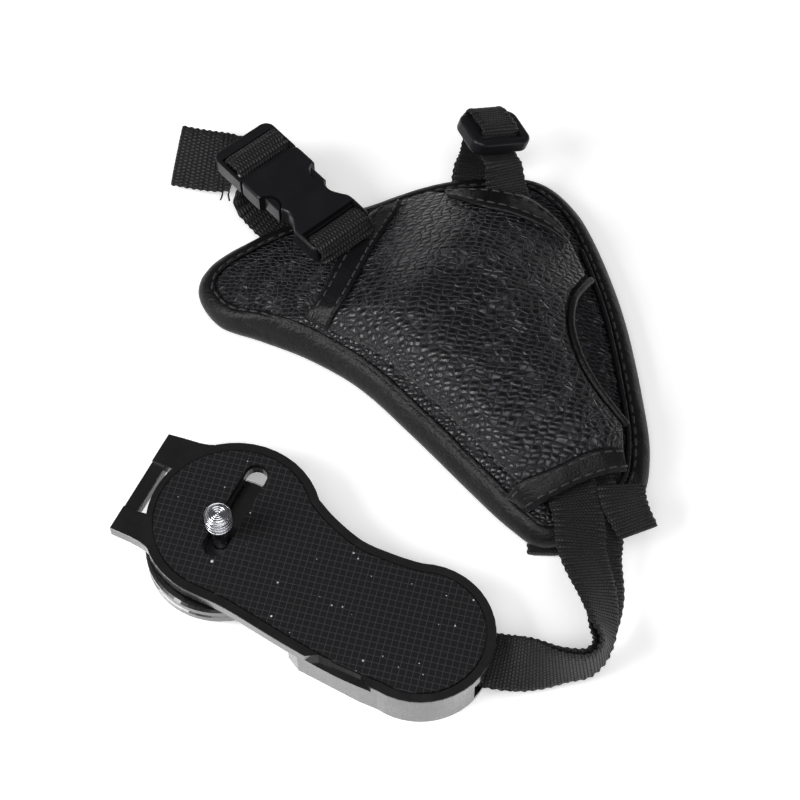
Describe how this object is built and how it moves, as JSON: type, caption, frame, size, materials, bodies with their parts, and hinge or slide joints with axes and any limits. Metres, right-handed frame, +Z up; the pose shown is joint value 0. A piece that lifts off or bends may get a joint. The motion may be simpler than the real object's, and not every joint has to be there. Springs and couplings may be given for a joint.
{
  "type": "camera hand grip strap",
  "caption": "Padded hand grip for a camera, with a screw-on base plate, webbing straps and a side-release wrist buckle.",
  "frame": {"origin": "centre of the footprint, on the table the strap lies on", "axes": "+Z up from the table, +Y from the base plate towards the camera-lug webbing, +X to the right in the picture, away from the wrist buckle"},
  "size_m": [0.1296, 0.1662, 0.0256],
  "materials": {
    "moulded_plate": "satin moulded",
    "mat": "fine square grid, matte",
    "plated_steel": "bright plated",
    "nylon_washer": "matte",
    "acetal": "matte moulded",
    "pebbled_leather": "coarse glossy pebble",
    "smooth_leather": "smooth satin",
    "lining_cloth": "matte cloth",
    "foam": "open foam",
    "webbing": "woven nylon"
  },
  "bodies": {
    "strap": {"base_plate": "moulded_plate", "rubber_mat": "mat", "strap_cover": "moulded_plate", "cover_screw_1": "plated_steel", "cover_screw_2": "plated_steel", "strap_pin": "plated_steel", "palm_lining": "lining_cloth", "foam_core": "foam", "face_panel": "pebbled_leather", "edge_binding": "smooth_leather", "shell_panel": "pebbled_leather", "buckle_side_trim": "smooth_leather", "crown_trim": "smooth_leather", "mouth_trim": "smooth_leather", "side_piping": "smooth_leather", "seam_piping": "smooth_leather", "plate_webbing": "webbing", "webbing_tail": "webbing", "stitched_tab": "webbing", "buckle_socket": "acetal", "buckle_plug": "acetal", "wrist_webbing": "webbing", "socket_webbing": "webbing", "tri_glide": "acetal", "lug_webbing": "webbing"},
    "screw_carrier": {"slide_washer": "nylon_washer"},
    "thumb_screw": {"camera_screw": "plated_steel", "thumb_wheel": "moulded_plate"}
  },
  "joints": [
    {"name": "screw_slide", "type": "slide", "parent": "strap", "child": "screw_carrier", "axis": [0.4297, 0.903, 0], "range_m": [-0.0031, 0.0176]},
    {"name": "wheel_turn", "type": "hinge", "parent": "screw_carrier", "child": "thumb_screw", "pos_m": [-0.03876, -0.04105, 0], "axis": [0, 0, 1], "continuous": true}
  ]
}
